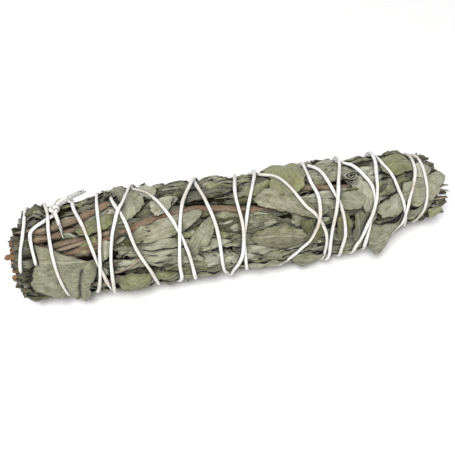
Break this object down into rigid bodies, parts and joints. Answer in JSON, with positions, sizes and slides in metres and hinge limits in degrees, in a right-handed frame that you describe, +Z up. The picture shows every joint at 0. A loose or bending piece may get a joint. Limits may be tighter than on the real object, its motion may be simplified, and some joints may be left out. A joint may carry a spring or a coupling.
{
  "type": "sage bunch",
  "caption": "Bunch of dried white sage, tapered at its leafy end and cut square at the other, bound from end to end with white cotton string and lying on its side",
  "frame": {"origin": "on the surface that the bunch lies on, under the middle of its bounding box", "axes": "+X runs along the bunch from the cut stem end to the leafy tips; +Y points across it, away from the side with the large pale leaves; +Z points up off the surface"},
  "size_m": [0.2135, 0.0553, 0.0497],
  "materials": {
    "sage_leaf": "dry, felted, grey-green",
    "pale_sage_leaf": "dry, felted, pale grey-green",
    "olive_sage_leaf": "dry, olive green, less felted",
    "woody_stem": "dry pinkish-brown bark, pale tan where cut",
    "cotton_string": "matt twisted cotton, off-white"
  },
  "bodies": {
    "root": {"tie_string": "cotton_string", "loose_leaf_01": "pale_sage_leaf", "loose_leaf_02": "olive_sage_leaf", "loose_leaf_03": "sage_leaf", "loose_leaf_04": "pale_sage_leaf", "loose_leaf_05": "sage_leaf", "loose_leaf_06": "pale_sage_leaf", "loose_leaf_07": "olive_sage_leaf", "loose_leaf_08": "sage_leaf", "loose_leaf_09": "sage_leaf", "loose_leaf_10": "olive_sage_leaf", "loose_leaf_11": "pale_sage_leaf", "loose_leaf_12": "sage_leaf", "loose_leaf_13": "pale_sage_leaf", "loose_leaf_14": "olive_sage_leaf", "loose_leaf_15": "pale_sage_leaf", "loose_leaf_16": "pale_sage_leaf", "loose_leaf_17": "pale_sage_leaf", "loose_leaf_18": "sage_leaf", "loose_leaf_19": "pale_sage_leaf", "loose_leaf_20": "sage_leaf", "loose_leaf_21": "sage_leaf", "loose_leaf_22": "sage_leaf", "stem_01": "woody_stem", "stem_02": "woody_stem", "stem_03": "woody_stem", "stem_04": "woody_stem", "stem_05": "woody_stem", "stem_06": "woody_stem", "stem_07": "woody_stem", "stem_08": "woody_stem", "stem_09": "woody_stem", "stem_10": "woody_stem", "stem_11": "woody_stem", "stem_12": "woody_stem", "stem_13": "woody_stem", "stem_14": "woody_stem", "stem_15": "woody_stem", "stem_16": "woody_stem", "stem_17": "woody_stem", "centre_stem": "woody_stem", "sprig_01": "sage_leaf", "sprig_02": "sage_leaf", "sprig_03": "sage_leaf", "sprig_04": "sage_leaf", "sprig_05": "sage_leaf", "sprig_06": "sage_leaf", "sprig_07": "sage_leaf"}
  },
  "joints": []
}
